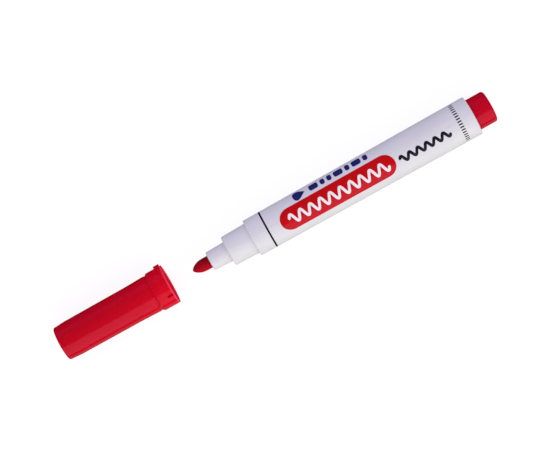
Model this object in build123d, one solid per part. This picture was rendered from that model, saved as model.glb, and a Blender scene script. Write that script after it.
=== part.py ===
from build123d import *
import os

# A bullet-tipped whiteboard marker lying on its side with its cap pulled off, in millimetres.
# The pen and the cap share one axis along +X, from the cap's closed end to the end plug.
# Z=0 is the surface that they lie on. Every piece is turned about the X axis, then lifted to its height.

os.makedirs("parts", exist_ok=True)

# Lengths along the pen, from the end plug forwards
PLUG_SHOWING = 7.6
BARREL_LENGTH = 91.3
NECK_LENGTH = 9.8
HOLDER_LENGTH = 7.6
NIB_SHOWING = 7.1
CAP_GAP = 9.4
CAP_LENGTH = 45.8

# Outer radii
BARREL_BACK_R = 7.57
BARREL_FRONT_R = 7.09
NECK_BACK_R = 5.96
NECK_FRONT_R = 5.77
HOLDER_BACK_R = 3.86
HOLDER_FRONT_R = 3.64
NIB_R = 2.41
PLUG_R = 6.05
FLANGE_R = 7.59

# Rounding of the barrel's edges, from the front backwards
HOLDER_EDGE = 0.5
HOLDER_ROOT = 0.25
NECK_EDGE = 0.5
NECK_ROOT = 0.12
SHOULDER_EDGE = 0.35
BACK_EDGE = 0.45
SEAT_EDGE = 0.15

# Barrel's inside
SHOULDER_WALL = 1.2
NECK_WALL = 1.1
NECK_BORE_R = 4.3
CHAMBER_FRONT_R = 5.95
CHAMBER_BACK_R = 6.2
CHAMBER_RIBS = 6
CHAMBER_RIB_WIDTH = 0.8
CHAMBER_RIB_LENGTH = 66.0
SEAT_R = 6.35
SEAT_DEPTH = 9.0

# Ink reservoir: a fibre rod in a plastic film sleeve, and the nib pushed into its front
RESERVOIR_R = 5.65
WRAP_THICKNESS = 0.2
NIB_IN_RESERVOIR = 7.0
NIB_TAPER = 4.8
NIB_BLUNTNESS = 0.32
NIB_FULLNESS = 0.4
NIB_BACK_CONE = 1.6

# End plug
PLUG_SHANK = 8.4
PLUG_RECESS = 0.6
PLUG_UNDERCUT = 0.2
PLUG_WALL = 1.15
PLUG_DOME = 0.45
PLUG_CORNER = 1.1
PLUG_INNER_CORNER = 0.8
PLUG_FRONT_EDGE = 0.4
BEAD_HEIGHT = 0.2
BEAD_WIDTH = 1.0
BEAD_FROM_BACK = 5.0

# Cap
CAP_BACK_R = 6.46
CAP_SHOULDER_R = 6.78
CAP_SHOULDER = 5.2
CAP_SHOULDER_BLEND = 18.0
CAP_WAIST = 31.0
CAP_WAIST_R = 6.89
CAP_FRONT_R = 7.1
CAP_DOME = 0.6
CAP_CORNER = 0.7
FLANGE_LENGTH = 6.7
FLANGE_RAMP = 0.5
FLANGE_EDGE = 0.3
GROOVE_WIDTH = 0.9
GROOVE_DEPTH = 0.24
GROOVE_BOTTOM = 0.2
MOUTH_R = 7.2
MOUTH_DEPTH = 5.5
MOUTH_OUTER_EDGE = 0.12
MOUTH_INNER_EDGE = 0.12
CAP_BORE_R = 6.14
CAP_BORE_EDGE = 0.15
CAP_BACK_BORE_R = 5.65
CAP_INNER_CORNER = 0.7
CAP_END_WALL = 1.3
CAP_FINS = 6
CAP_FIN_WIDTH = 0.8
GRIP_RIBS = 3
FIRST_GRIP_RIB = -88.0
GRIP_RIB_LENGTH = 2.2
GRIP_RIB_WIDTH = 0.6
GRIP_RIB_HEIGHT = 0.82
GRIP_RIB_SETBACK = 0.5

# Cap's inner seal
LINER_R = 5.0
LINER_BORE_R = 3.95
LINER_WALL = 1.0
LINER_FLANGE = 1.0
LINER_OUTER_CORNER = 1.2
LINER_INNER_CORNER = 0.8
LINER_LIP = 0.2
ROOM_PAST_NIB = 1.2

# The mark left by the moulding gate in the middle of each domed end
GATE_R = 0.8
GATE_DEPTH = 0.15

STOP_GAP = 0.05
FIT_GAP = 0.02

# Places along X: the whole row of pen and cap is centred on X=0
TOTAL_LENGTH = (
    PLUG_SHOWING + BARREL_LENGTH + NECK_LENGTH + HOLDER_LENGTH + NIB_SHOWING + CAP_GAP + CAP_LENGTH
)
PLUG_END = TOTAL_LENGTH / 2
BARREL_BACK = PLUG_END - PLUG_SHOWING
SHOULDER = BARREL_BACK - BARREL_LENGTH
NECK_FRONT = SHOULDER - NECK_LENGTH
HOLDER_FRONT = NECK_FRONT - HOLDER_LENGTH
NIB_TIP = HOLDER_FRONT - NIB_SHOWING
CAP_MOUTH = NIB_TIP - CAP_GAP
CAP_END = CAP_MOUTH - CAP_LENGTH
CHAMBER_FRONT = SHOULDER + SHOULDER_WALL
SEAT_FRONT = BARREL_BACK - SEAT_DEPTH
PLUG_FRONT = BARREL_BACK - PLUG_SHANK
NIB_BACK = CHAMBER_FRONT + NIB_IN_RESERVOIR

# The cap is fully on when the shelf at the back of its mouth meets the barrel's shoulder
CAP_SHELF = CAP_MOUTH - MOUTH_DEPTH
CAP_TRAVEL = SHOULDER - STOP_GAP - CAP_SHELF
LINER_FACE = NECK_FRONT - STOP_GAP - CAP_TRAVEL
LINER_SEAT = LINER_FACE - LINER_FLANGE

AXIS_HEIGHT = FLANGE_R


def at(x, radius):
    """The point of a half section at x along the pen and at a radius from its axis."""
    return (x, 0, radius)


def turned(lines, corners=()):
    """A solid turned about the pen's axis from the lines of its half section.
    Each of corners is (x, radius, rounding): the corner nearest to that point is rounded."""
    face = make_face(lines).faces()[0]
    for x, radius, rounding in corners:
        corner = face.vertices().sort_by_distance(at(x, radius))[0]
        face = face.fillet_2d(rounding, [corner])
    return revolve(face, Axis.X)


def section(*points):
    """A closed half section with straight sides through (x, radius) points."""
    return Polyline([at(x, radius) for x, radius in points], close=True)


def fins(count, width, x_from, x_to, r_from, r_to, first_angle=0.0):
    """Straight fins along the pen, evenly spaced about its axis."""
    one = Pos((x_from + x_to) / 2, 0, (r_from + r_to) / 2) * Box(x_to - x_from, width, r_to - r_from)
    return [Rot(X=first_angle + i * 360 / count) * one for i in range(count)]


def gate_mark(end_x):
    """The shallow round recess cut into a domed end."""
    return Pos(end_x, 0, 0) * Rot(Y=90) * Cylinder(GATE_R, 2 * GATE_DEPTH)


def barrel():
    """One moulding: nib holder, neck and ink chamber, with ribs that keep an air path past the reservoir."""
    bead_middle = BARREL_BACK - BEAD_FROM_BACK
    bead_half = BEAD_WIDTH / 2 + STOP_GAP
    nib_bore_r = NIB_R + FIT_GAP
    body = turned(
        section(
            (HOLDER_FRONT, nib_bore_r),
            (HOLDER_FRONT, HOLDER_FRONT_R),
            (NECK_FRONT, HOLDER_BACK_R),
            (NECK_FRONT, NECK_FRONT_R),
            (SHOULDER, NECK_BACK_R),
            (SHOULDER, BARREL_FRONT_R),
            (BARREL_BACK, BARREL_BACK_R),
            (BARREL_BACK, SEAT_R),
            (bead_middle + bead_half, SEAT_R),
            (bead_middle, SEAT_R + BEAD_HEIGHT + STOP_GAP),
            (bead_middle - bead_half, SEAT_R),
            (SEAT_FRONT, SEAT_R),
            (SEAT_FRONT, CHAMBER_BACK_R),
            (CHAMBER_FRONT, CHAMBER_FRONT_R),
            (CHAMBER_FRONT, NECK_BORE_R),
            (NECK_FRONT + NECK_WALL, NECK_BORE_R),
            (NECK_FRONT + NECK_WALL, nib_bore_r),
        ),
        corners=(
            (HOLDER_FRONT, HOLDER_FRONT_R, HOLDER_EDGE),
            (NECK_FRONT, HOLDER_BACK_R, HOLDER_ROOT),
            (NECK_FRONT, NECK_FRONT_R, NECK_EDGE),
            (SHOULDER, NECK_BACK_R, NECK_ROOT),
            (SHOULDER, BARREL_FRONT_R, SHOULDER_EDGE),
            (BARREL_BACK, BARREL_BACK_R, BACK_EDGE),
            (BARREL_BACK, SEAT_R, SEAT_EDGE),
        ),
    )
    ribs = fins(
        CHAMBER_RIBS,
        CHAMBER_RIB_WIDTH,
        CHAMBER_FRONT - STOP_GAP,
        CHAMBER_FRONT + CHAMBER_RIB_LENGTH,
        RESERVOIR_R + FIT_GAP,
        CHAMBER_BACK_R + STOP_GAP,
    )
    return body + ribs


def nib():
    """A fibre rod with a bullet point in front and a short cone behind, which goes into the reservoir."""
    cone_r = NIB_R / 2
    bullet = Bezier(
        at(NIB_TIP, 0),
        at(NIB_TIP, NIB_BLUNTNESS * NIB_R),
        at(NIB_TIP + NIB_FULLNESS * NIB_TAPER, NIB_R),
        at(NIB_TIP + NIB_TAPER, NIB_R),
    )
    rest = Polyline(
        bullet @ 1,
        at(NIB_BACK - NIB_BACK_CONE, NIB_R),
        at(NIB_BACK, cone_r),
        at(NIB_BACK, 0),
        bullet @ 0,
    )
    return turned([bullet, rest])


def reservoir_core():
    """The fibre rod that holds the ink, with the hole that the nib has pressed into its front."""
    core_r = RESERVOIR_R - WRAP_THICKNESS
    return turned(
        section(
            (CHAMBER_FRONT + FIT_GAP, NIB_R + FIT_GAP),
            (CHAMBER_FRONT + FIT_GAP, core_r),
            (PLUG_FRONT - FIT_GAP, core_r),
            (PLUG_FRONT - FIT_GAP, 0),
            (NIB_BACK + FIT_GAP, 0),
            (NIB_BACK + FIT_GAP, NIB_R + FIT_GAP),
        )
    )


def reservoir_wrap():
    """The plastic film round the fibre rod."""
    return turned(
        section(
            (CHAMBER_FRONT + FIT_GAP, RESERVOIR_R - WRAP_THICKNESS),
            (CHAMBER_FRONT + FIT_GAP, RESERVOIR_R),
            (PLUG_FRONT - FIT_GAP, RESERVOIR_R),
            (PLUG_FRONT - FIT_GAP, RESERVOIR_R - WRAP_THICKNESS),
        )
    )


def end_plug():
    """A hollow stopper that snaps into the back of the barrel and stands out of it with a domed end."""
    bore_r = PLUG_R - PLUG_WALL
    bead_middle = BARREL_BACK - BEAD_FROM_BACK
    rim = PLUG_END - PLUG_DOME
    dome = TangentArc(at(PLUG_END, 0), at(rim, PLUG_R), tangent=(0, 0, 1))
    rest = Polyline(
        dome @ 1,
        at(BARREL_BACK + STOP_GAP, PLUG_R),
        at(BARREL_BACK - PLUG_RECESS, PLUG_R - PLUG_UNDERCUT),
        at(BARREL_BACK - PLUG_RECESS, SEAT_R),
        at(bead_middle + BEAD_WIDTH / 2, SEAT_R),
        at(bead_middle, SEAT_R + BEAD_HEIGHT),
        at(bead_middle - BEAD_WIDTH / 2, SEAT_R),
        at(PLUG_FRONT, SEAT_R),
        at(PLUG_FRONT, bore_r),
        at(rim - PLUG_WALL, bore_r),
        at(rim - PLUG_WALL, 0),
        dome @ 0,
    )
    stopper = turned(
        [dome, rest],
        corners=(
            (rim, PLUG_R, PLUG_CORNER),
            (rim - PLUG_WALL, bore_r, PLUG_INNER_CORNER),
            (PLUG_FRONT, SEAT_R, PLUG_FRONT_EDGE),
        ),
    )
    return stopper - gate_mark(PLUG_END)


def cap():
    """The cap: a shell that widens to a flange, which slides over the front of the barrel."""
    shoulder = CAP_END + CAP_SHOULDER
    waist = CAP_END + CAP_WAIST
    flange = CAP_MOUTH - FLANGE_LENGTH
    groove = flange - GROOVE_WIDTH
    end_rim = CAP_END + CAP_DOME
    inner_end = CAP_END + CAP_END_WALL
    dome = TangentArc(at(CAP_END, 0), at(end_rim, CAP_BACK_R), tangent=(0, 0, 1))
    rest = Polyline(
        dome @ 1,
        at(shoulder, CAP_SHOULDER_R),
        at(waist, CAP_WAIST_R),
        at(groove, CAP_FRONT_R),
        at(groove + GROOVE_WIDTH / 2, CAP_FRONT_R - GROOVE_DEPTH),
        at(flange, CAP_FRONT_R),
        at(flange + FLANGE_RAMP, FLANGE_R),
        at(CAP_MOUTH, FLANGE_R),
        at(CAP_MOUTH, MOUTH_R),
        at(CAP_SHELF, MOUTH_R),
        at(CAP_SHELF, CAP_BORE_R),
        at(LINER_SEAT, CAP_BORE_R),
        at(LINER_SEAT, CAP_BACK_BORE_R),
        at(inner_end, CAP_BACK_BORE_R),
        at(inner_end, 0),
        dome @ 0,
    )
    shell = turned(
        [dome, rest],
        corners=(
            (end_rim, CAP_BACK_R, CAP_CORNER),
            (shoulder, CAP_SHOULDER_R, CAP_SHOULDER_BLEND),
            (groove + GROOVE_WIDTH / 2, CAP_FRONT_R - GROOVE_DEPTH, GROOVE_BOTTOM),
            (flange + FLANGE_RAMP, FLANGE_R, FLANGE_EDGE),
            (CAP_MOUTH, FLANGE_R, MOUTH_OUTER_EDGE),
            (CAP_MOUTH, MOUTH_R, MOUTH_INNER_EDGE),
            (CAP_SHELF, CAP_BORE_R, CAP_BORE_EDGE),
            (inner_end, CAP_BACK_BORE_R, CAP_INNER_CORNER),
        ),
    )
    inner_fins = fins(
        CAP_FINS,
        CAP_FIN_WIDTH,
        inner_end - STOP_GAP,
        LINER_SEAT,
        LINER_R + STOP_GAP,
        CAP_BACK_BORE_R + STOP_GAP,
    )
    grip_ribs = fins(
        GRIP_RIBS,
        GRIP_RIB_WIDTH,
        CAP_MOUTH - GRIP_RIB_SETBACK - GRIP_RIB_LENGTH,
        CAP_MOUTH - GRIP_RIB_SETBACK,
        FLANGE_R - 2 * STOP_GAP,
        FLANGE_R + GRIP_RIB_HEIGHT,
        FIRST_GRIP_RIB,
    )
    return shell - gate_mark(CAP_END) + inner_fins + grip_ribs


def cap_liner():
    """The soft cup inside the cap that seals round the nib holder and keeps the nib wet."""
    depth = HOLDER_LENGTH + NIB_SHOWING + ROOM_PAST_NIB
    inner_end = LINER_FACE - depth
    outer_end = inner_end - LINER_WALL
    return turned(
        section(
            (outer_end, 0),
            (outer_end, LINER_R),
            (LINER_SEAT, LINER_R),
            (LINER_SEAT, CAP_BORE_R - FIT_GAP),
            (LINER_FACE, CAP_BORE_R - FIT_GAP),
            (LINER_FACE, LINER_BORE_R),
            (inner_end, LINER_BORE_R),
            (inner_end, 0),
        ),
        corners=(
            (outer_end, LINER_R, LINER_OUTER_CORNER),
            (inner_end, LINER_BORE_R, LINER_INNER_CORNER),
            (LINER_FACE, LINER_BORE_R, LINER_LIP),
        ),
    )


PIECES = {
    "barrel": barrel,
    "nib": nib,
    "reservoir_core": reservoir_core,
    "reservoir_wrap": reservoir_wrap,
    "end_plug": end_plug,
    "cap": cap,
    "cap_liner": cap_liner,
}

for name, make in PIECES.items():
    export_step(Pos(0, 0, AXIS_HEIGHT) * make(), f"parts/{name}.step")

print("cap travel", round(CAP_TRAVEL, 3), "axis height", AXIS_HEIGHT)
print("cap mouth", round(CAP_MOUTH, 3), "shelf", round(CAP_SHELF, 3), "liner face", round(LINER_FACE, 3))
print("plug end", round(PLUG_END, 3), "barrel back", round(BARREL_BACK, 3))
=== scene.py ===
import math

import bmesh
import bpy
import numpy as np
from mathutils import Matrix, Vector, noise


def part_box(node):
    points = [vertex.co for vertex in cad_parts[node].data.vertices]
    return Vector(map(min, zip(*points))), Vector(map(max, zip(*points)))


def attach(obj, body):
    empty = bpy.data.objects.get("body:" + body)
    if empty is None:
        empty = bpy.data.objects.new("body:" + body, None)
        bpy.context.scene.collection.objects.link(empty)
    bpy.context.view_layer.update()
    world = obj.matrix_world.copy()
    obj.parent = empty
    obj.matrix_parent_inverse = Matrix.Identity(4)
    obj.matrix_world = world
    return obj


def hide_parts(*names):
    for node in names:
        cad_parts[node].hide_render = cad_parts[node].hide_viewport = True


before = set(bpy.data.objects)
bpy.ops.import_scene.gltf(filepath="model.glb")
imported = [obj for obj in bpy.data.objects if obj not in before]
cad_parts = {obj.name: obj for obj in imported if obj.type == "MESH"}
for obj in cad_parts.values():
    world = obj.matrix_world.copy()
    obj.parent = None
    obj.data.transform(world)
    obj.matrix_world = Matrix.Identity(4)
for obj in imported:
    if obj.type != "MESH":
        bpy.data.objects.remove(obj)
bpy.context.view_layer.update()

MM = 0.001

barrel_low, barrel_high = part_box("barrel")
nib_low, nib_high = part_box("nib")
cap_low, cap_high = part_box("cap")
AXIS_Y = 0.0
AXIS_Z = (barrel_low.z + barrel_high.z) / 2


# Shapes read from the frame

def radii_of(node):
    """The (x, distance from the pen's axis) of every vertex of a CAD node, in metres, in order of x."""
    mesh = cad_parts[node].data
    points = np.zeros(len(mesh.vertices) * 3)
    mesh.vertices.foreach_get("co", points)
    points = points.reshape(-1, 3)
    radius = np.hypot(points[:, 1] - AXIS_Y, points[:, 2] - AXIS_Z)
    order = np.argsort(points[:, 0], kind="stable")
    return points[order, 0], radius[order]


# Of the whole barrel, only its outer wall behind the shoulder is further from the axis than this share
# of its largest radius
OUTER_SHARE = 0.91


def outer_taper():
    """The x of the barrel's shoulder, and a function from x to the outer radius behind it."""
    x, radius = radii_of("barrel")
    outer = radius > OUTER_SHARE * radius.max()
    return float(x[outer].min()), lambda at: float(np.interp(at, x[outer], radius[outer]))


SHOULDER_X, barrel_radius = outer_taper()
BARREL_BACK_X = barrel_high.x


# Meshes

def new_object(name, mesh, body, material):
    """A piece made of one mesh, riding on a body, with its finish."""
    piece = bpy.data.objects.new(name, mesh)
    bpy.context.scene.collection.objects.link(piece)
    mesh.materials.append(material)
    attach(piece, body)
    return piece


def around(x, turn, radius):
    """The point at a radius and a turn about the pen's axis. Turn 0 is up, and it grows towards -Y."""
    return Vector((x, AXIS_Y - radius * math.sin(turn), AXIS_Z + radius * math.cos(turn)))


def smooth(mesh):
    mesh.polygons.foreach_set("use_smooth", [True] * len(mesh.polygons))


# Materials. Noises are in features a metre, and most of a noise lies between NOISE_LOW and NOISE_HIGH.

NOISE_LOW, NOISE_HIGH = 0.3, 0.7
FLOW_NOISE, RUB_NOISE, SKIN_NOISE = 260, 900, 5200
FIBRE_NOISE, PATCH_NOISE, COVER_NOISE = 9000, 1400, 2600
SKIN_DEPTH, FELT_DEPTH, COVER_DEPTH = 0.0012 * MM, 0.03 * MM, 0.002 * MM
FELT_SPECULAR, INK_SPECULAR = 0.06, 0.25


def shader(name, color, roughness, **sockets):
    """A material with one Principled shader. Sockets are set as constants, by name with _ for space."""
    material = bpy.data.materials.new(name)
    material.use_nodes = True
    principled = material.node_tree.nodes["Principled BSDF"]
    principled.inputs["Base Color"].default_value = (*color, 1)
    principled.inputs["Roughness"].default_value = roughness
    for socket, value in sockets.items():
        principled.inputs[socket.replace("_", " ")].default_value = value
    return material, principled


def add_noise(tree, scale, detail=4.0, stretch=(1, 1, 1)):
    """A noise in the row frame's metres; scale is in features a metre, and stretch squeezes it by axis."""
    place = tree.nodes.new("ShaderNodeTexCoord")
    shape = tree.nodes.new("ShaderNodeMapping")
    grain = tree.nodes.new("ShaderNodeTexNoise")
    shape.inputs["Scale"].default_value = stretch
    grain.inputs["Scale"].default_value = scale
    grain.inputs["Detail"].default_value = detail
    tree.links.new(place.outputs["Object"], shape.inputs["Vector"])
    tree.links.new(shape.outputs["Vector"], grain.inputs["Vector"])
    return grain


def spread(tree, grain, low, high):
    """The noise turned into numbers from low to high."""
    span = tree.nodes.new("ShaderNodeMapRange")
    span.inputs["From Min"].default_value = NOISE_LOW
    span.inputs["From Max"].default_value = NOISE_HIGH
    span.inputs["To Min"].default_value = low
    span.inputs["To Max"].default_value = high
    tree.links.new(grain.outputs["Fac"], span.inputs["Value"])
    return span.outputs["Result"]


def tint(tree, grain, principled, dark, light):
    """The base colour wanders between two colours with the noise."""
    ramp = tree.nodes.new("ShaderNodeValToRGB")
    ramp.color_ramp.elements[0].position = NOISE_LOW
    ramp.color_ramp.elements[1].position = NOISE_HIGH
    ramp.color_ramp.elements[0].color = (*dark, 1)
    ramp.color_ramp.elements[1].color = (*light, 1)
    tree.links.new(grain.outputs["Fac"], ramp.inputs["Fac"])
    tree.links.new(ramp.outputs["Color"], principled.inputs["Base Color"])
    return ramp


def bumps(tree, heights, principled):
    """Bump from a chain of (noise, depth in metres)."""
    last = None
    for grain, depth in heights:
        bump = tree.nodes.new("ShaderNodeBump")
        bump.inputs["Strength"].default_value = 1.0
        bump.inputs["Distance"].default_value = depth
        tree.links.new(grain.outputs["Fac"], bump.inputs["Height"])
        if last is not None:
            tree.links.new(last.outputs["Normal"], bump.inputs["Normal"])
        last = bump
    tree.links.new(last.outputs["Normal"], principled.inputs["Normal"])


def scaled(color, factor):
    return tuple(channel * factor for channel in color)


def moulded(name, color, roughness, wave_depth, **sockets):
    """Injection-moulded plastic: a slight wave from shrinkage, a fine skin, and uneven gloss and tone."""
    material, principled = shader(name, color, roughness, **sockets)
    tree = material.node_tree
    flow = add_noise(tree, FLOW_NOISE, 3, stretch=(0.35, 1, 1))
    skin = add_noise(tree, SKIN_NOISE, 3)
    tint(tree, flow, principled, scaled(color, 0.97), scaled(color, 1.02))
    rub = add_noise(tree, RUB_NOISE, 6, stretch=(0.3, 1, 1))
    tree.links.new(spread(tree, rub, roughness * 0.85, roughness * 1.2), principled.inputs["Roughness"])
    bumps(tree, [(flow, wave_depth), (skin, SKIN_DEPTH)], principled)
    return material


def along_x(tree, principled, stops):
    """Multiplies the base colour by a colour that changes along the pen. Stops are (x in metres, colour)."""
    first, last = stops[0][0], stops[-1][0]
    place = tree.nodes.new("ShaderNodeTexCoord")
    split = tree.nodes.new("ShaderNodeSeparateXYZ")
    span = tree.nodes.new("ShaderNodeMapRange")
    ramp = tree.nodes.new("ShaderNodeValToRGB")
    blend = tree.nodes.new("ShaderNodeMix")
    span.inputs["From Min"].default_value = first
    span.inputs["From Max"].default_value = last
    elements = ramp.color_ramp.elements
    while len(elements) < len(stops):
        elements.new(0.5)
    for element, (x, color) in zip(elements, stops):
        element.position = (x - first) / (last - first)
        element.color = (*color, 1)
    blend.data_type = "RGBA"
    blend.blend_type = "MULTIPLY"
    blend.inputs["Factor"].default_value = 1.0
    tree.links.new(place.outputs["Object"], split.inputs["Vector"])
    tree.links.new(split.outputs["X"], span.inputs["Value"])
    tree.links.new(span.outputs["Result"], ramp.inputs["Fac"])
    tree.links.new(principled.inputs["Base Color"].links[0].from_socket, blend.inputs["A"])
    tree.links.new(ramp.outputs["Color"], blend.inputs["B"])
    tree.links.new(blend.outputs["Result"], principled.inputs["Base Color"])


def inside(tree, principled, radius, first, last, factor):
    """Multiplies the base colour by a colour in a bore: within a radius of the pen's axis, between two x."""
    place = tree.nodes.new("ShaderNodeTexCoord")
    split = tree.nodes.new("ShaderNodeSeparateXYZ")
    away = tree.nodes.new("ShaderNodeVectorMath")
    flat = tree.nodes.new("ShaderNodeVectorMath")
    reach = tree.nodes.new("ShaderNodeVectorMath")
    within = tree.nodes.new("ShaderNodeMath")
    along = tree.nodes.new("ShaderNodeMath")
    both = tree.nodes.new("ShaderNodeMath")
    blend = tree.nodes.new("ShaderNodeMix")
    away.operation, flat.operation, reach.operation = "SUBTRACT", "MULTIPLY", "LENGTH"
    within.operation, along.operation, both.operation = "LESS_THAN", "COMPARE", "MULTIPLY"
    away.inputs[1].default_value = (0, AXIS_Y, AXIS_Z)
    flat.inputs[1].default_value = (0, 1, 1)
    within.inputs[1].default_value = radius
    along.inputs[1].default_value = (first + last) / 2
    along.inputs[2].default_value = (last - first) / 2
    blend.data_type = "RGBA"
    blend.blend_type = "MULTIPLY"
    blend.inputs["B"].default_value = (*factor, 1)
    tree.links.new(place.outputs["Object"], split.inputs["Vector"])
    tree.links.new(place.outputs["Object"], away.inputs[0])
    tree.links.new(away.outputs["Vector"], flat.inputs[0])
    tree.links.new(flat.outputs["Vector"], reach.inputs[0])
    tree.links.new(reach.outputs["Value"], within.inputs[0])
    tree.links.new(split.outputs["X"], along.inputs[0])
    tree.links.new(within.outputs["Value"], both.inputs[0])
    tree.links.new(along.outputs["Value"], both.inputs[1])
    tree.links.new(both.outputs["Value"], blend.inputs["Factor"])
    tree.links.new(principled.inputs["Base Color"].links[0].from_socket, blend.inputs["A"])
    tree.links.new(blend.outputs["Result"], principled.inputs["Base Color"])


def shifted(tree, grain, slope, middle):
    """The noise plus a slope across the piece, which is 0 at the middle point, as one number."""
    place = tree.nodes.new("ShaderNodeTexCoord")
    away = tree.nodes.new("ShaderNodeVectorMath")
    along = tree.nodes.new("ShaderNodeVectorMath")
    total = tree.nodes.new("ShaderNodeMath")
    away.operation = "SUBTRACT"
    along.operation = "DOT_PRODUCT"
    away.inputs[1].default_value = middle
    along.inputs[1].default_value = slope
    tree.links.new(place.outputs["Object"], away.inputs[0])
    tree.links.new(away.outputs["Vector"], along.inputs[0])
    tree.links.new(grain.outputs["Fac"], total.inputs[0])
    tree.links.new(along.outputs["Value"], total.inputs[1])
    return total.outputs["Value"]


def felt(name, dark, light, roughness, slope=(0, 0, 0), middle=(0, 0, 0)):
    """Bonded fibres that run along the pen, wetter and darker in patches, and with painted shade that darkens
    them along the slope.
    """
    material, principled = shader(name, light, roughness)
    principled.inputs["Specular IOR Level"].default_value = FELT_SPECULAR
    tree = material.node_tree
    fibres = add_noise(tree, FIBRE_NOISE, 5, stretch=(0.12, 1, 1))
    patches = add_noise(tree, PATCH_NOISE, 4, stretch=(0.5, 1, 1))
    ramp = tint(tree, fibres, principled, dark, light)
    # Painted shade: the slope darkens the fibres' colour across the piece
    tree.links.new(shifted(tree, fibres, slope, middle), ramp.inputs["Fac"])
    tree.links.new(spread(tree, patches, roughness * 0.85, roughness), principled.inputs["Roughness"])
    bumps(tree, [(patches, FELT_DEPTH), (fibres, FELT_DEPTH)], principled)
    return material


def ink_film(name, color, roughness):
    """Pad-printed ink: nearly even, with slight starving and its own sheen."""
    material, principled = shader(name, color, roughness, Specular_IOR_Level=INK_SPECULAR)
    tree = material.node_tree
    cover = add_noise(tree, COVER_NOISE, 5)
    tint(tree, cover, principled, scaled(color, 0.93), scaled(color, 1.05))
    tree.links.new(spread(tree, cover, roughness * 0.9, roughness * 1.15), principled.inputs["Roughness"])
    bumps(tree, [(cover, COVER_DEPTH)], principled)
    return material


WHITE = (0.70, 0.695, 0.705)
CAP_RED = (0.518, 0.0004, 0.0115)
PLUG_RED = (0.54, 0.0, 0.013)
LINER_WHITE = (0.7, 0.7, 0.72)
FILM_WHITE = (0.8, 0.8, 0.8)
NIB_DARK, NIB_LIGHT = (0.16, 0.0, 0.004), (0.54, 0.002, 0.008)
RESERVOIR_DARK, RESERVOIR_LIGHT = (0.3, 0.004, 0.01), (0.45, 0.01, 0.02)
# Painted shade: from the middle of its bare tip the nib gets lighter towards -X and -Y, by this much a metre,
# so it is darker towards the holder and on its side away from the light
NIB_SHADE_SLOPE = (-18, -70, 0)
NIB_BARE_MIDDLE = 3.5 * MM
BARREL_WAVE, PLASTIC_WAVE, FILM_WAVE = 0.008 * MM, 0.006 * MM, 0.004 * MM
white_plastic = moulded("white_plastic", WHITE, 0.3, BARREL_WAVE, Specular_IOR_Level=0.25)
cap_plastic = moulded("cap_plastic", CAP_RED, 0.15, PLASTIC_WAVE, Specular_IOR_Level=0.2)
plug_plastic = moulded("plug_plastic", PLUG_RED, 0.15, PLASTIC_WAVE, Specular_IOR_Level=0.2)
liner_plastic = moulded("liner_plastic", LINER_WHITE, 0.4, PLASTIC_WAVE, Specular_IOR_Level=0.3)
nib_middle = (nib_low.x + NIB_BARE_MIDDLE, 0, AXIS_Z)
nib_felt = felt("nib_felt", NIB_DARK, NIB_LIGHT, 0.8, slope=NIB_SHADE_SLOPE, middle=nib_middle)
ink_felt = felt("ink_felt", RESERVOIR_DARK, RESERVOIR_LIGHT, 0.9)
film_plastic = moulded("film_plastic", FILM_WHITE, 0.3, FILM_WAVE, Specular_IOR_Level=0.3)
red_ink = ink_film("red_ink", (0.555, 0.001, 0.003), 0.17)
white_ink = ink_film("white_ink", (0.84, 0.81, 0.82), 0.3)
black_ink = ink_film("black_ink", (0.013, 0.010, 0.015), 0.25)
navy_ink = ink_film("navy_ink", (0.016, 0.019, 0.14), 0.2)

# Painted light: the cap's wall is thin at its mouth, and its base colour is made brighter towards the mouth
# as if light came through that wall, brightest at the rim, with a painted highlight on the flange's back
# edge. Places are distances from the mouth, and the EDGE ones are from that back edge towards the mouth
RIM, FLANGE = 0.4 * MM, 6.7 * MM
RIM_FADE, RIM_OVERLAP = 0.2 * MM, 0.05 * MM
EDGE_START, EDGE_FULL, EDGE_HELD, EDGE_END = -0.05 * MM, 0.1 * MM, 0.4 * MM, 0.7 * MM
# Painted highlight on the flange's back edge, and painted light at the rim and in the flange's bore
EDGE_PAINTED_HIGHLIGHT = (1.17, 7, 1.4)
RIM_PAINTED_LIGHT = (1.88, 105, 8.5)
INSIDE_PAINTED_LIGHT = (1.35, 10, 2.2)
FAR_BODY, MID_BODY, NEAR_BODY = 28.6 * MM, 11.2 * MM, 8.0 * MM
FLANGE_PEAK, FLANGE_DIP = 2.9 * MM, 1.6 * MM
mouth = cap_high.x
cap_shader = cap_plastic.node_tree.nodes["Principled BSDF"]
along_x(
    cap_plastic.node_tree,
    cap_shader,
    [
        (cap_low.x, (1.0, 1, 1)),
        (mouth - FAR_BODY, (1.03, 1, 1)),
        (mouth - MID_BODY, (1.1, 1, 1.03)),
        (mouth - NEAR_BODY, (1.17, 1, 1.08)),
        (mouth - FLANGE + EDGE_START, (1.12, 1, 1.05)),
        (mouth - FLANGE + EDGE_FULL, EDGE_PAINTED_HIGHLIGHT),
        (mouth - FLANGE + EDGE_HELD, EDGE_PAINTED_HIGHLIGHT),
        (mouth - FLANGE + EDGE_END, (1.17, 1, 1.1)),
        (mouth - FLANGE_PEAK, (1.3, 1, 1.15)),
        (mouth - FLANGE_DIP, (1.22, 1, 1.1)),
        (mouth - RIM - RIM_FADE, (1.3, 2, 1.1)),
        (mouth - RIM + RIM_OVERLAP, RIM_PAINTED_LIGHT),
        (mouth, RIM_PAINTED_LIGHT),
    ],
)
# Painted light: the inside of the flange is made paler, as if light came through its thin wall
FLANGE_BORE, FLANGE_BORE_DEPTH = 7.3 * MM, 5.6 * MM
inside(
    cap_plastic.node_tree,
    cap_shader,
    FLANGE_BORE,
    mouth - FLANGE_BORE_DEPTH,
    mouth - RIM - RIM_FADE,
    INSIDE_PAINTED_LIGHT,
)

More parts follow.
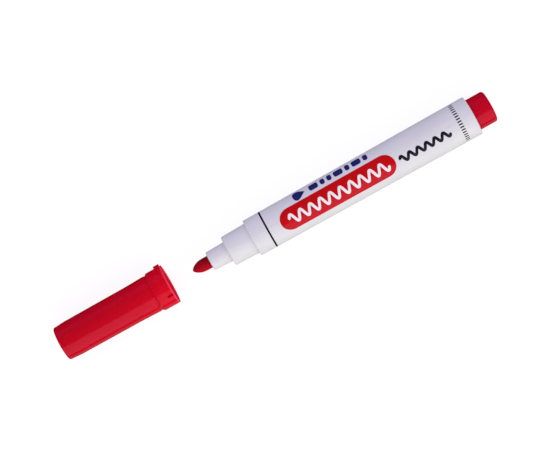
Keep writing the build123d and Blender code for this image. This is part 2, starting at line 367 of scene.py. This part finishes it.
NODE_FINISH = {
    "barrel": white_plastic,
    "end_plug": plug_plastic,
    "cap": cap_plastic,
    "cap_liner": liner_plastic,
    "reservoir_core": ink_felt,
    "reservoir_wrap": film_plastic,
}


def finish_node(node, material):
    """Gives a CAD node its finish, leaving its mesh alone."""
    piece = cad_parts[node]
    if not piece.material_slots:
        piece.data.materials.append(material)
    for place in piece.material_slots:
        place.material = material


for node, material in NODE_FINISH.items():
    finish_node(node, material)


# The nib: a rod of bonded fibres, slightly rough, whose shape follows the CAD nib from just inside

NIB_ROUND = 144
NIB_RINGS = 260
FIBRE_DEPTH = 0.045 * MM
# How fast the noises change round the nib and, in features a metre, along it
FIBRES_ROUND, FIBRES_ALONG = 46.0 / 6, 420.0
HOLLOWS_ROUND, HOLLOWS_ALONG = 1.4, 900.0
# How much of FIBRE_DEPTH is even, from the fibres and from the hollows
EVEN_SHARE, STRAND_SHARE, HOLLOW_SHARE = 0.5, 0.38, 0.25
# The rings are closest together at the tip. The relief is nowhere more than MOST_RELIEF of the radius
RING_CROWDING = 1.6
MOST_RELIEF = 0.3


def fibre_relief(x, turn):
    """How far the felt's surface lies under the nib's outline: long fibres and soft hollows."""
    fibre_place = (math.cos(turn) * FIBRES_ROUND, math.sin(turn) * FIBRES_ROUND, x * FIBRES_ALONG)
    hollow_place = (math.cos(turn) * HOLLOWS_ROUND, math.sin(turn) * HOLLOWS_ROUND, x * HOLLOWS_ALONG)
    strand = noise.fractal(Vector(fibre_place), 0.7, 2.0, 4)
    hollow = noise.noise(Vector(hollow_place))
    return FIBRE_DEPTH * (EVEN_SHARE + STRAND_SHARE * strand + HOLLOW_SHARE * hollow)


def nib_mesh():
    """Rings from the tip to the back; each has the CAD nib's radius less the relief."""
    x_cad, r_cad = radii_of("nib")
    length = nib_high.x - nib_low.x
    mesh = bmesh.new()
    tip = mesh.verts.new(around(nib_low.x + FIBRE_DEPTH / 2, 0, 0))
    rings = []
    for i in range(1, NIB_RINGS):
        share = i / NIB_RINGS
        x = nib_low.x + length * share ** RING_CROWDING
        outline = float(np.interp(x, x_cad, r_cad))
        ring = []
        for k in range(NIB_ROUND):
            turn = 2 * math.pi * k / NIB_ROUND
            depth = min(max(fibre_relief(x, turn), 0.0), MOST_RELIEF * outline)
            ring.append(mesh.verts.new(around(x, turn, outline - depth)))
        rings.append(ring)
    back = mesh.verts.new(around(nib_high.x, 0, 0))
    for k in range(NIB_ROUND):
        nxt = (k + 1) % NIB_ROUND
        mesh.faces.new((tip, rings[0][nxt], rings[0][k]))
        mesh.faces.new((back, rings[-1][k], rings[-1][nxt]))
        for near, far in zip(rings, rings[1:]):
            mesh.faces.new((near[k], near[nxt], far[nxt], far[k]))
    bmesh.ops.recalc_face_normals(mesh, faces=mesh.faces)
    made = bpy.data.meshes.new("felt_nib")
    mesh.to_mesh(made)
    mesh.free()
    smooth(made)
    return made


felt_nib = new_object("felt_nib", nib_mesh(), "marker", nib_felt)
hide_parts("nib")


# The print: thin closed films that follow the barrel's taper.
# A film is a grid of (x, s): x in mm behind the shoulder, s in mm round the barrel from its top towards -Y.

INK_UNDER = 0.003 * MM
INK_TOP = 0.02 * MM
PRINT_R = barrel_radius((SHOULDER_X + BARREL_BACK_X) / 2)


def on_barrel(x, s, lift):
    place = SHOULDER_X + x * MM
    return around(place, s * MM / PRINT_R, barrel_radius(place) + lift)


def film_shell(mesh, grid, lift=0.0, closed_loop=False):
    """Adds one film to a bmesh: its top, its underside and its edges. The grid has rows of equal length."""
    top = [[mesh.verts.new(on_barrel(x, s, INK_TOP + lift)) for x, s in row] for row in grid]
    low = [[mesh.verts.new(on_barrel(x, s, INK_UNDER)) for x, s in row] for row in grid]
    count = len(grid)
    pairs = [(i, (i + 1) % count) for i in range(count if closed_loop else count - 1)]
    last = len(grid[0]) - 1
    for a, b in pairs:
        for j in range(last):
            mesh.faces.new((top[a][j], top[a][j + 1], top[b][j + 1], top[b][j]))
            mesh.faces.new((low[a][j], low[b][j], low[b][j + 1], low[a][j + 1]))
        mesh.faces.new((top[a][0], top[b][0], low[b][0], low[a][0]))
        mesh.faces.new((top[a][last], low[a][last], low[b][last], top[b][last]))
    if not closed_loop:
        for j in range(last):
            mesh.faces.new((top[0][j], low[0][j], low[0][j + 1], top[0][j + 1]))
            mesh.faces.new((top[-1][j], top[-1][j + 1], low[-1][j + 1], low[-1][j]))


def print_piece(name, grids, ink, lift=0.0, closed_loop=False):
    """One printed piece made of any number of films in the same ink."""
    mesh = bmesh.new()
    for grid in grids:
        film_shell(mesh, grid, lift, closed_loop)
    bmesh.ops.recalc_face_normals(mesh, faces=mesh.faces)
    made = bpy.data.meshes.new(name)
    mesh.to_mesh(made)
    mesh.free()
    return new_object(name, made, "marker", ink)


def bar(x_from, x_to, s_from, s_to, corner, rows=28, columns=24):
    """A rounded bar: its rows run along the pen, and its ends are set in where a corner is rounded."""
    middle, half = (s_from + s_to) / 2, (s_to - s_from) / 2
    grid = []
    for i in range(rows + 1):
        off = -half * math.cos(math.pi * i / rows)
        past = max(0.0, abs(off) - (half - corner))
        inset = corner - math.sqrt(max(0.0, corner * corner - past * past))
        start, end = x_from + inset, x_to - inset
        grid.append([(start + (end - start) * j / columns, middle + off) for j in range(columns + 1)])
    return grid


def stroke(path, width, across=6):
    """A pen stroke of even width with round ends along a list of (x, s) points."""
    half = width / 2
    lengths = [0.0]
    for (x0, s0), (x1, s1) in zip(path, path[1:]):
        lengths.append(lengths[-1] + math.hypot(x1 - x0, s1 - s0))
    grid = []
    for i, (x, s) in enumerate(path):
        before, after = path[max(i - 1, 0)], path[min(i + 1, len(path) - 1)]
        run = math.hypot(after[0] - before[0], after[1] - before[1])
        side = (-(after[1] - before[1]) / run, (after[0] - before[0]) / run)
        to_end = min(lengths[i], lengths[-1] - lengths[i])
        reach = half
        if to_end < half:
            reach = max(math.sqrt(half * half - (half - to_end) ** 2), 0.02 * half)
        offsets = [reach * (2 * j / across - 1) for j in range(across + 1)]
        grid.append([(x + side[0] * o, s + side[1] * o) for o in offsets])
    return grid


def wave(x_from, x_to, middle, height, count, steps=26):
    """The path of a smooth wave with a number of full turns, which starts and ends on its middle line."""
    total = count * steps
    return [
        (x_from + (x_to - x_from) * i / total, middle - height * math.sin(2 * math.pi * i / steps))
        for i in range(total + 1)
    ]


DROP_FULLNESS = 1.3
DROP_SHARPNESS = 1.4


def drop(x_tip, x_base, middle, half, steps=40, across=8):
    """An ink drop that points along the pen."""
    grid = []
    for i in range(1, steps):
        turn = math.pi * i / steps
        x = (x_tip + x_base) / 2 + (x_tip - x_base) / 2 * math.cos(turn)
        reach = half * DROP_FULLNESS * math.sin(turn) * math.sin(turn / 2) ** DROP_SHARPNESS
        grid.append([(x, middle + reach * (2 * j / across - 1)) for j in range(across + 1)])
    return grid


RING_X = 6.6
RING_WIDTH = 0.68
RING_COLUMNS = 4
RING_SEGMENTS = 240
FULL_TURN = 2 * math.pi * PRINT_R / MM
ring_columns = [RING_X - RING_WIDTH / 2 + RING_WIDTH * j / RING_COLUMNS for j in range(RING_COLUMNS + 1)]
ring_rows = [[(x, FULL_TURN * i / RING_SEGMENTS) for x in ring_columns] for i in range(RING_SEGMENTS)]
print_piece("cap_line", [ring_rows], black_ink, closed_loop=True)

BAR_START, BAR_END = 11.73, 58.5
BAR_TOP, BAR_BOTTOM = -3.58, 5.2
print_piece(
    "colour_bar",
    [bar(BAR_START, BAR_END, BAR_TOP, BAR_BOTTOM, (BAR_BOTTOM - BAR_TOP) / 2, rows=64, columns=96)],
    red_ink,
)
BAR_WAVE_START, BAR_WAVE_END = BAR_START + 3.4, BAR_END - 2.5
BAR_WAVE_MIDDLE, BAR_WAVE_HEIGHT, BAR_WAVE_TURNS = 0.98, 1.75, 10
BAR_WAVE_STROKE = 1.0
OVERPRINT = 0.012 * MM
bar_wave = wave(BAR_WAVE_START, BAR_WAVE_END, BAR_WAVE_MIDDLE, BAR_WAVE_HEIGHT, BAR_WAVE_TURNS)
print_piece("bar_wave", [stroke(bar_wave, BAR_WAVE_STROKE)], white_ink, lift=OVERPRINT)

BARREL_WAVE_START, BARREL_WAVE_END = 60.2, 80.9
BARREL_WAVE_MIDDLE, BARREL_WAVE_HEIGHT, BARREL_WAVE_TURNS = 1.45, 1.1, 6
BARREL_WAVE_STROKE = 1.1
barrel_wave = wave(
    BARREL_WAVE_START, BARREL_WAVE_END, BARREL_WAVE_MIDDLE, BARREL_WAVE_HEIGHT, BARREL_WAVE_TURNS
)
print_piece("barrel_wave", [stroke(barrel_wave, BARREL_WAVE_STROKE)], black_ink)

DROP_TIP, DROP_BASE, DROP_MIDDLE, DROP_HALF = 24.9, 19.9, -6.5, 2.6
DASH_TOP, DASH_BOTTOM = -8.1, -5.0
DASHES = (3.6, 1.8, 1.8, 3.6, 1.8, 3.6, 1.8)
DASH_GAP = 1.0
DASH_CORNER = 0.85
DASHES_START = 26.6
starts = [DASHES_START + sum(DASHES[:i]) + DASH_GAP * i for i in range(len(DASHES))]
print_piece(
    "drop_and_dashes",
    [drop(DROP_TIP, DROP_BASE, DROP_MIDDLE, DROP_HALF)]
    + [
        bar(start, start + length, DASH_TOP, DASH_BOTTOM, DASH_CORNER)
        for start, length in zip(starts, DASHES)
    ],
    navy_ink,
)

TICK_FRONT, TICK_BACK = 84.7, 86.3
TICK_COUNT = 17
TICK_WIDTH = 0.46
TICK_CORNER = 0.2
TICK_STEP = 1.06
TICKS_START = -9.0
print_piece(
    "back_ticks",
    [
        bar(TICK_FRONT, TICK_BACK, place, place + TICK_WIDTH, TICK_CORNER, rows=6, columns=6)
        for place in [TICKS_START + TICK_STEP * i for i in range(TICK_COUNT)]
    ],
    black_ink,
)


# The floor: plain white paper that curves up into a wall all round

FLOOR_MIDDLE = 0.6
FLOOR_FLAT = 2.2
FLOOR_CURVE = 1.0
FLOOR_WALL = 1.5
FLOOR_BENDS = 12
FLOOR_SIDES = 64
FLOOR_GLOW = 0.85
FLOOR_SHADE = 0.2


def floor():
    bend = [math.pi / 2 * i / FLOOR_BENDS for i in range(FLOOR_BENDS + 1)]
    profile = [(FLOOR_MIDDLE, 0.0)]
    profile += [(FLOOR_FLAT + FLOOR_CURVE * math.sin(b), FLOOR_CURVE * (1 - math.cos(b))) for b in bend]
    profile.append((FLOOR_FLAT + FLOOR_CURVE, FLOOR_CURVE + FLOOR_WALL))
    turns = [2 * math.pi * k / FLOOR_SIDES for k in range(FLOOR_SIDES)]
    mesh = bmesh.new()
    rings = [[mesh.verts.new((r * math.cos(t), r * math.sin(t), z)) for t in turns] for r, z in profile]
    mesh.faces.new(rings[0])
    for near, far in zip(rings, rings[1:]):
        for k in range(FLOOR_SIDES):
            nxt = (k + 1) % FLOOR_SIDES
            mesh.faces.new((near[k], near[nxt], far[nxt], far[k]))
    bmesh.ops.recalc_face_normals(mesh, faces=mesh.faces)
    made = bpy.data.meshes.new("floor")
    mesh.to_mesh(made)
    mesh.free()
    smooth(made)
    material, principled = shader("floor_paper", (FLOOR_SHADE,) * 3, 0.9)
    principled.inputs["Specular IOR Level"].default_value = 0.0
    principled.inputs["Emission Color"].default_value = (1, 1, 1, 1)
    principled.inputs["Emission Strength"].default_value = FLOOR_GLOW
    made.materials.append(material)
    piece = bpy.data.objects.new("floor", made)
    bpy.context.scene.collection.objects.link(piece)
    piece.visible_diffuse = False
    piece.visible_glossy = False
    piece.visible_shadow = False


floor()


# Lights: long soft panels beside the pen, in metres, and soft light from all round

def panel(name, centre, towards, size, power, color, diffuse):
    light = bpy.data.lights.new(name, "AREA")
    light.shape = "RECTANGLE"
    light.size, light.size_y = size
    light.energy = power
    light.color = color
    piece = bpy.data.objects.new(name, light)
    piece.location = centre
    piece.rotation_mode = "QUATERNION"
    piece.rotation_quaternion = (Vector(towards) - Vector(centre)).to_track_quat("-Z", "Y")
    piece.visible_diffuse = diffuse
    piece.visible_camera = False
    bpy.context.scene.collection.objects.link(piece)


PANEL_DISTANCE = 0.7
SHEEN_DISTANCE = 0.67
PANEL_LENGTH = 1.6


def long_panel(name, first, last, color, diffuse=True, distance=PANEL_DISTANCE):
    """A long panel beside the pen, between two angles from straight up towards -Y. Colour is its radiance."""
    middle, half = math.radians(first + last) / 2, math.radians(last - first) / 2
    reach = distance * math.cos(half)
    size = (PANEL_LENGTH, 2 * distance * abs(math.sin(half)))
    centre = (0, -reach * math.sin(middle), AXIS_Z + reach * math.cos(middle))
    power = math.pi * size[0] * size[1]
    panel(name, centre, (0, 0, AXIS_Z), size, power, color, diffuse)


long_panel("side_panel", 28, 97, (0.75, 0.77, 0.46))
long_panel("side_sheen", 28, 97, (0.2, 0.0, 0.75), diffuse=False, distance=SHEEN_DISTANCE)
long_panel("paper_bounce", 115, 152, (0.3, 0.29, 0.28))
long_panel("cool_side", -84, -52, (0.2, 0.06, 0.42), diffuse=False)

FROM_ABOVE = (0.804, 0.772, 0.958)
FROM_BELOW = (0.57, 0.55, 0.67)
# The world changes from one to the other over this much of its height, either side of level
HORIZON = 0.1


def soft_world():
    """Even cool light from above, and the paper's weaker light from below."""
    world = bpy.data.worlds.new("studio")
    bpy.context.scene.world = world
    world.use_nodes = True
    world.cycles_visibility.glossy = False
    tree = world.node_tree
    place = tree.nodes.new("ShaderNodeTexCoord")
    split = tree.nodes.new("ShaderNodeSeparateXYZ")
    height = tree.nodes.new("ShaderNodeMapRange")
    ramp = tree.nodes.new("ShaderNodeValToRGB")
    height.inputs["From Min"].default_value = -HORIZON
    height.inputs["From Max"].default_value = HORIZON
    ramp.color_ramp.elements[0].color = (*FROM_BELOW, 1)
    ramp.color_ramp.elements[1].color = (*FROM_ABOVE, 1)
    tree.links.new(place.outputs["Generated"], split.inputs["Vector"])
    tree.links.new(split.outputs["Z"], height.inputs["Value"])
    tree.links.new(height.outputs["Result"], ramp.inputs["Fac"])
    tree.links.new(ramp.outputs["Color"], tree.nodes["Background"].inputs["Color"])


soft_world()


# The camera looks down on the pen, which runs up to the right at PEN_TILT. VIEW_WIDTH is what it sees at
# the height of the pen's axis

PEN_TILT = math.radians(29.12)
VIEW_WIDTH = 199.28 * MM
SENSOR = 36.0
CAMERA_HEIGHT = 0.8
CAMERA_X = 0.018
CLIP_NEAR, CLIP_FAR = 0.01, 20
AIM = Vector((0.0, 0.0001, AXIS_Z))


def place_camera():
    data = bpy.data.cameras.new("camera")
    data.sensor_width = SENSOR
    data.lens = SENSOR * CAMERA_HEIGHT / VIEW_WIDTH
    data.clip_start = CLIP_NEAR
    data.clip_end = CLIP_FAR
    camera = bpy.data.objects.new("camera", data)
    bpy.context.scene.collection.objects.link(camera)
    place = Vector((CAMERA_X, AIM.y, AIM.z + CAMERA_HEIGHT))
    back = (place - AIM).normalized()
    along = Vector((1, 0, 0))
    along = (along - back * along.dot(back)).normalized()
    aside = back.cross(along)
    right = along * math.cos(PEN_TILT) - aside * math.sin(PEN_TILT)
    up = along * math.sin(PEN_TILT) + aside * math.cos(PEN_TILT)
    turn = Matrix((right, up, back)).transposed()
    camera.matrix_world = Matrix.Translation(place) @ turn.to_4x4()
    bpy.context.scene.camera = camera


place_camera()
bpy.context.scene.view_settings.view_transform = "Standard"
